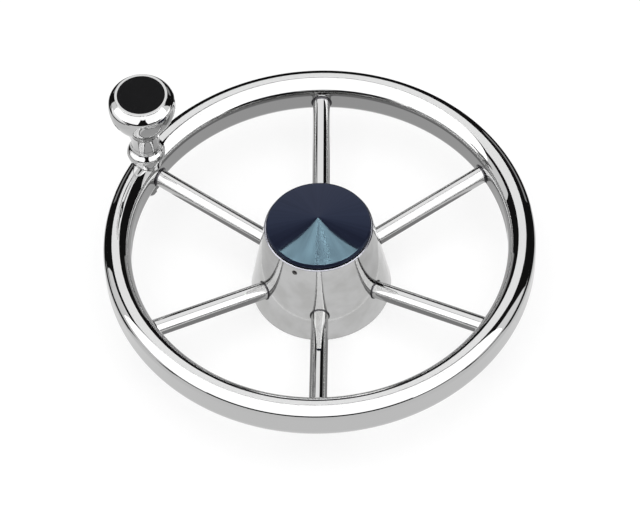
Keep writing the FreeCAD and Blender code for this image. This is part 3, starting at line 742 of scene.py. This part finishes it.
# Centre cap: turned from aluminium bar and anodised dark blue, with a gloss. Its face is a very
# shallow cone that steepens a little outwards to a rounded edge. A skirt holds it in the hub.
CAP_DARK_BLUE = "#131622"
CAP_LIGHT_BLUE = "#1E2232"
CAP_SHEEN = "#B8D8FF"
CAP_GLOSS = 0.25
CAP_STREAKS = 16.0
CAP_STREAK_DEPTH = 0.00001
CAP_ROUGHNESS = (0.05, 0.09)
CAP_INNER_SLOPE = math.radians(12.0)
CAP_OUTER_SLOPE = math.radians(14.6)
CAP_EDGE_RADIUS = 0.0481
CAP_EDGE_ROUND = 0.0030
CAP_UNDERSIDE = 0.0883
CAP_LAND = 0.0003
CAP_BORE = 0.0413
CAP_SKIRT_TOP = 0.0880
CAP_INSIDE_STEPS = 8
CAP_SHARP_EDGE = math.radians(35)
CAP_SIDES = 240
CAP_FACE_STEPS = 60
CAP_ROUND_STEPS = 16
# The skirt's outline from the seat down, its two grooves and its inside, as radius and height
CAP_SKIRT = [
    (0.0464, CAP_SKIRT_TOP), (0.0464, 0.0871), (0.0453, 0.0870), (0.0453, 0.0814), (0.0441, 0.0814),
    (0.0441, 0.0786), (0.0453, 0.0786), (0.0453, 0.0776), (0.0439, 0.0776), (0.0439, 0.0756),
    (0.0453, 0.0756), (0.0453, 0.0754), (0.0445, 0.0746), (0.0418, 0.0746), (CAP_BORE, 0.0751),
    (CAP_BORE, CAP_SKIRT_TOP)]

# Anodised aluminium: near black blue, with a pale blue gloss and faint streaks that run in to
# the middle, left by the last facing cut
anodised_blue, tree = new_material("turned and blue anodised aluminium")
place = add_node(tree, "ShaderNodeTexCoord").outputs["Object"]
flat = add_node(tree, "ShaderNodeVectorMath", {0: place, 1: (1, 1, 0)}, operation="MULTIPLY")
heading = add_node(tree, "ShaderNodeVectorMath", {0: flat.outputs[0]}, operation="NORMALIZE")
streaks = add_node(tree, "ShaderNodeTexNoise",
                   {"Vector": heading.outputs[0], "Scale": CAP_STREAKS, "Detail": 3.0})
softness = add_node(tree, "ShaderNodeMapRange", {
    0: streaks.outputs[0], 1: 0.3, 2: 0.7, 3: CAP_ROUGHNESS[0], 4: CAP_ROUGHNESS[1]})
tone = add_node(tree, "ShaderNodeMix",
                {0: streaks.outputs[0], 6: colour(CAP_DARK_BLUE), 7: colour(CAP_LIGHT_BLUE)},
                data_type="RGBA")
cut_lines = add_node(tree, "ShaderNodeBump",
                     {"Height": streaks.outputs[0], "Strength": 0.2, "Distance": CAP_STREAK_DEPTH})
gloss = add_node(tree, "ShaderNodeBsdfPrincipled", {
    "Base Color": tone.outputs[2], "Metallic": 0.0, "Roughness": softness.outputs[0],
    "Specular IOR Level": CAP_GLOSS, "Specular Tint": colour(CAP_SHEEN), "Normal": cut_lines.outputs[0]})
add_node(tree, "ShaderNodeOutputMaterial", {"Surface": gloss.outputs[0]})

round_centre = (CAP_EDGE_RADIUS - CAP_EDGE_ROUND, CAP_UNDERSIDE + CAP_LAND)
face_edge = (round_centre[0] + CAP_EDGE_ROUND * math.sin(CAP_OUTER_SLOPE),
             round_centre[1] + CAP_EDGE_ROUND * math.cos(CAP_OUTER_SLOPE))
face, rise = [face_edge], face_edge[1]
for i in range(CAP_FACE_STEPS - 1, -1, -1):
    share = (i + 0.5) / CAP_FACE_STEPS
    slope = CAP_INNER_SLOPE + (CAP_OUTER_SLOPE - CAP_INNER_SLOPE) * share ** 2
    rise += math.tan(slope) * face_edge[0] / CAP_FACE_STEPS
    face.append((face_edge[0] * i / CAP_FACE_STEPS, rise))
edge_turns = [CAP_OUTER_SLOPE + (math.pi / 2 - CAP_OUTER_SLOPE) * i / CAP_ROUND_STEPS
              for i in range(1, CAP_ROUND_STEPS + 1)]
edge = [(round_centre[0] + CAP_EDGE_ROUND * math.sin(a), round_centre[1] + CAP_EDGE_ROUND * math.cos(a))
        for a in edge_turns]
inside = [(CAP_BORE * (1 - i / CAP_INSIDE_STEPS),
           CAP_SKIRT_TOP + CAP_BORE * i / CAP_INSIDE_STEPS * math.tan(CAP_INNER_SLOPE))
          for i in range(1, CAP_INSIDE_STEPS + 1)]
outline = list(reversed(face)) + edge + [(CAP_EDGE_RADIUS, CAP_UNDERSIDE)] + CAP_SKIRT + inside


def turned_piece(name, outline, sides, material):
    """Turns an outline of radius and height about the hub's axis, from the axis and back to it."""
    inner = outline[1:-1]
    vertices = [(r * math.cos(math.tau * i / sides), r * math.sin(math.tau * i / sides), z)
                for r, z in inner for i in range(sides)]
    vertices += [(0, 0, outline[0][1]), (0, 0, outline[-1][1])]
    faces = [(k * sides + i, (k + 1) * sides + i,
              (k + 1) * sides + (i + 1) % sides, k * sides + (i + 1) % sides)
             for k in range(len(inner) - 1) for i in range(sides)]
    last = (len(inner) - 1) * sides
    faces += [(len(vertices) - 2, i, (i + 1) % sides) for i in range(sides)]
    faces += [(len(vertices) - 1, last + (i + 1) % sides, last + i) for i in range(sides)]
    piece = new_object(name, vertices, faces, material)
    piece.data.set_sharp_from_angle(angle=CAP_SHARP_EDGE)
    return piece


cap = turned_piece("cap", outline, CAP_SIDES, anodised_blue)
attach(cap, "wheel")
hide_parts("centre_cap")

# The cap's own lamp in the tent's roof draws the pale sector on it, brightest along its back
# edge. Behind it hangs the cap's own cloth, which fades towards the lamp.
CAP_LAMP_CLOUD = 0.30
CAP_LAMP_TINT = "#F0FFE9"
CAP_CLOTH_TINT = "#F4F0FF"
CAP_LAMP_LIGHT = (13.0, 24.0)
CAP_LAMP_EDGE = (0.765, 0.795)
CAP_LAMP_EDGE_LIGHT = 14.0
CAP_CLOTH_EDGE = (1.10, 1.60)
CAP_CLOTH_LIGHT = (0.1, 1.15)


def cap_light(strength, tint, tree):
    """Finishes a card's light, whose strength comes from a node."""
    glow = add_node(tree, "ShaderNodeEmission", {"Color": colour(tint), "Strength": strength.outputs[0]})
    clear = add_node(tree, "ShaderNodeBsdfTransparent")
    both = add_node(tree, "ShaderNodeAddShader", {0: glow.outputs[0], 1: clear.outputs[0]})
    add_node(tree, "ShaderNodeOutputMaterial", {"Surface": both.outputs[0]})


cap_lamp = tent_panel("cap lamp", 1.0, *front_cloth, behind(-0.05), left_of(0.42), right_of(-0.42))
tree = cap_lamp.data.materials[0].node_tree
tree.nodes.clear()
place = add_node(tree, "ShaderNodeTexCoord").outputs["Object"]
apart = add_node(tree, "ShaderNodeSeparateXYZ", {0: place})
clouds = add_node(tree, "ShaderNodeTexNoise", {"Vector": place, "Scale": 1 / CAP_LAMP_CLOUD, "Detail": 1.0})
strength = add_node(tree, "ShaderNodeMapRange", {
    0: clouds.outputs[0], 1: 0.3, 2: 0.7, 3: CAP_LAMP_LIGHT[0], 4: CAP_LAMP_LIGHT[1]})
edge_glow = add_node(tree, "ShaderNodeMapRange", {
    0: apart.outputs["Y"], 1: CAP_LAMP_EDGE[0], 2: CAP_LAMP_EDGE[1], 3: 0.0, 4: CAP_LAMP_EDGE_LIGHT})
strength = add_node(tree, "ShaderNodeMath", {0: strength.outputs[0], 1: edge_glow.outputs[0]},
                    operation="ADD")
cap_light(strength, CAP_LAMP_TINT, tree)

cap_cloth = tent_panel("cap cloth", 1.0, behind(0.39), above(0.20))
tree = cap_cloth.data.materials[0].node_tree
tree.nodes.clear()
place = add_node(tree, "ShaderNodeTexCoord").outputs["Object"]
apart = add_node(tree, "ShaderNodeSeparateXYZ", {0: place})
strength = add_node(tree, "ShaderNodeMapRange", {
    0: apart.outputs["Y"], 1: CAP_CLOTH_EDGE[0], 2: CAP_CLOTH_EDGE[1],
    3: CAP_CLOTH_LIGHT[0], 4: CAP_CLOTH_LIGHT[1]})
cap_light(strength, CAP_CLOTH_TINT, tree)
give_cards([cap], [cap_lamp, cap_cloth])


# Cap seal: a moulded nitrile ring in the skirt's lower groove, black and dull.
SEAL_BLACK = "#171717"
SEAL_GRAIN = 0.0006
SEAL_ROUGHNESS = (0.45, 0.60)
nitrile, tree = new_material("moulded nitrile rubber")
place = add_node(tree, "ShaderNodeTexCoord").outputs["Object"]
grain = add_node(tree, "ShaderNodeTexNoise", {"Vector": place, "Scale": 1 / SEAL_GRAIN, "Detail": 2.0})
softness = add_node(tree, "ShaderNodeMapRange", {
    0: grain.outputs[0], 3: SEAL_ROUGHNESS[0], 4: SEAL_ROUGHNESS[1]})
rubber = add_node(tree, "ShaderNodeBsdfPrincipled", {
    "Base Color": colour(SEAL_BLACK), "Roughness": softness.outputs[0], "Specular IOR Level": 0.3})
add_node(tree, "ShaderNodeOutputMaterial", {"Surface": rubber.outputs[0]})
dress(nitrile, "cap_o_ring")


# Knob base and its fasteners: a turned and polished pedestal saddled to the rim, held by a
# shouldered stud that goes down through the tube to a washer and a dome nut, also polished.
KNOB_PLACE = (-0.159782, 0.09225, 0)
STUD_LINE = 0.0006
dress(polished_stainless, "knob_base", "saddle_washer", "dome_nut")
dress(turned_metal("turned stud stainless", TURNED_STEEL, STUD_LINE, TURNED_ROUGHNESS, KNOB_PLACE),
      "knob_stud", "stop_washer", "lock_nut")


# Knob core and bushes: a turned aluminium sleeve inside the ball, on two flanged bushes machined
# from off-white acetal, which let the knob turn freely on the stud.
CORE_ALUMINIUM = "#C9C9CB"
CORE_ROUGHNESS = (0.18, 0.30)
ACETAL_WHITE = "#E4E2DA"
ACETAL_LINE = 0.0007
ACETAL_ROUGHNESS = (0.35, 0.45)
dress(turned_metal("turned aluminium", CORE_ALUMINIUM, STUD_LINE, CORE_ROUGHNESS, KNOB_PLACE), "knob_core")

# Machined acetal: waxy off white, with faint tool rings
acetal, tree = new_material("machined acetal")
place = add_node(tree, "ShaderNodeTexCoord").outputs["Object"]
centred = add_node(tree, "ShaderNodeMapping", {"Vector": place, "Location": tuple(-c for c in KNOB_PLACE)})
rings = add_node(tree, "ShaderNodeTexWave",
                 {"Vector": centred.outputs[0], "Scale": WAVE_PERIOD / ACETAL_LINE},
                 wave_type="RINGS", rings_direction="Z")
softness = add_node(tree, "ShaderNodeMapRange", {
    0: rings.outputs[1], 3: ACETAL_ROUGHNESS[0], 4: ACETAL_ROUGHNESS[1]})
plastic = add_node(tree, "ShaderNodeBsdfPrincipled", {
    "Base Color": colour(ACETAL_WHITE), "Roughness": softness.outputs[0],
    "Subsurface Weight": 0.1, "Subsurface Radius": (0.002, 0.002, 0.0018), "Subsurface Scale": 0.5})
add_node(tree, "ShaderNodeOutputMaterial", {"Surface": plastic.outputs[0]})
dress(acetal, "lower_bush", "upper_bush")


# Knob shell and insert: the hand holds a hollow ball with a trumpet neck, turned from stainless
# and mirror polished. A matt black rubber disc closes the hole in its top.
INSERT_BLACK = "#141415"
INSERT_GRAIN = 0.0011
INSERT_GRAIN_DEPTH = 0.00010
INSERT_ROUGHNESS = (0.75, 0.90)
INSERT_GLOSS = 0.03
dress(polished_stainless, "knob_shell")

# Matt moulded rubber: charcoal black, with a fine pebble grain and hardly any gloss
matt_rubber, tree = new_material("matt moulded rubber")
place = add_node(tree, "ShaderNodeTexCoord").outputs["Object"]
pebbles = add_node(tree, "ShaderNodeTexVoronoi", {"Vector": place, "Scale": 1 / INSERT_GRAIN})
softness = add_node(tree, "ShaderNodeMapRange", {
    0: pebbles.outputs["Distance"], 3: INSERT_ROUGHNESS[0], 4: INSERT_ROUGHNESS[1]})
pebbled = add_node(tree, "ShaderNodeBump",
                   {"Height": pebbles.outputs["Distance"], "Strength": 0.4, "Distance": INSERT_GRAIN_DEPTH},
                   invert=True)
rubber = add_node(tree, "ShaderNodeBsdfPrincipled", {
    "Base Color": colour(INSERT_BLACK), "Roughness": softness.outputs[0],
    "Specular IOR Level": INSERT_GLOSS, "Normal": pebbled.outputs[0]})
add_node(tree, "ShaderNodeOutputMaterial", {"Surface": rubber.outputs[0]})
dress(matt_rubber, "knob_insert")

# The knob's own cards: front cloths with a dark slot between them, and glowing papers, painted light
# on the floor to the left and far behind, which put black beside the ball's white and grey
slot_left_hem = ((1, 0, -0.26), -0.26)
slot_right_hem = ((-1, 0, -0.26), -0.29)
knob_front = (before(ROOF_EDGE), *front_sides)
KNOB_FAR_EDGE = TENT_RADIUS - 0.05
give_cards([nodes[name] for name in ("knob_shell", "knob_base", "saddle_washer", "dome_nut")], [
    tent_panel("left cloth of the knob", 1.80, *knob_front, slot_left_hem, above(0.03)),
    tent_panel("right cloth of the knob", 1.80, *knob_front, slot_right_hem, above(0.03)),
    tent_panel("top cloth of the knob", 1.80, *knob_front, left_of(0.10), right_of(-0.07), above(0.62)),
    tent_panel("back cloth of the knob", 1.25, behind(0.335), above(BACK_CLOTH_FOOT),
               back_left_hem, back_right_hem),
    lay_paper("left paper of the knob", 0.80, 0.282, 0.40, 100, 196, thin=True),
    lay_paper("far left paper of the knob", 0.60, 0.60, KNOB_FAR_EDGE, 156, 214, thin=True),
    lay_paper("far right paper of the knob", 1.40, 0.44, KNOB_FAR_EDGE, -34, 22, thin=True)])
